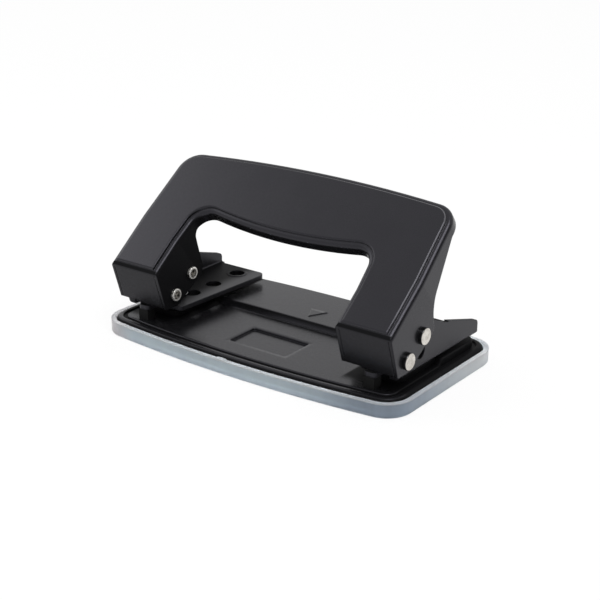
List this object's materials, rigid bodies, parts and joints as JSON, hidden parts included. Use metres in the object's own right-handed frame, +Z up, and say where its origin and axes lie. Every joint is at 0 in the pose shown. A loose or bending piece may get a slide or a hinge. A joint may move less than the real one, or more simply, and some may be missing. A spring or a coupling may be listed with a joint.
{
  "type": "two-hole punch",
  "caption": "Desk hole punch with a leaning arched handle on pivot pins, sprung punches in side brackets, a pressed steel base and a clip-on chip tray.",
  "frame": {"origin": "middle of the underside of the chip tray, where the punch stands on the table", "axes": "+X along the length, +Y to the back where the paper goes in, +Z up"},
  "size_m": [0.1042, 0.0596, 0.0494],
  "materials": {
    "black_steel": "satin black coat on pressed steel",
    "bright_steel": "bright plated pins and tubes",
    "punch_steel": "ground tool steel",
    "spring_steel": "drawn spring steel",
    "tray_plastic": "frosted translucent plastic"
  },
  "bodies": {
    "base": {"base_plate": "black_steel", "left_bracket": "black_steel", "right_bracket": "black_steel", "left_bracket_post": "black_steel", "right_bracket_post": "black_steel", "left_spring": "spring_steel", "right_spring": "spring_steel"},
    "tray": {"chip_tray": "tray_plastic"},
    "lever": {"handle": "black_steel", "left_pivot_pin": "bright_steel", "left_press_pin": "bright_steel", "left_pivot_sleeve": "bright_steel", "left_press_roller": "bright_steel", "right_pivot_pin": "bright_steel", "right_press_pin": "bright_steel", "right_pivot_sleeve": "bright_steel", "right_press_roller": "bright_steel"},
    "left_punch_set": {"left_punch": "punch_steel", "left_retaining_ring": "spring_steel"},
    "right_punch_set": {"right_punch": "punch_steel", "right_retaining_ring": "spring_steel"}
  },
  "joints": [
    {"name": "handle_press", "type": "hinge", "parent": "base", "child": "lever", "pos_m": [0, -0.01685, 0.0135], "axis": [-1, 0, 0], "range_deg": [0, 26], "stiffness_Nm_per_rad": 0.2, "springref_deg": -17.19},
    {"name": "left_punch_slide", "type": "slide", "parent": "base", "child": "left_punch_set", "axis": [0, 0, -1], "range_m": [0, 0.00373], "deforming": ["left_spring"]},
    {"name": "right_punch_slide", "type": "slide", "parent": "base", "child": "right_punch_set", "axis": [0, 0, -1], "range_m": [0, 0.00373], "deforming": ["right_spring"]},
    {"name": "tray_drop", "type": "slide", "parent": "base", "child": "tray", "axis": [0, 0, -1], "range_m": [0, 0.02]}
  ],
  "couplings": [
    {"joint": "left_punch_slide", "follows": "handle_press", "m_per_rad": 0.0082113},
    {"joint": "right_punch_slide", "follows": "handle_press", "m_per_rad": 0.0082113}
  ]
}
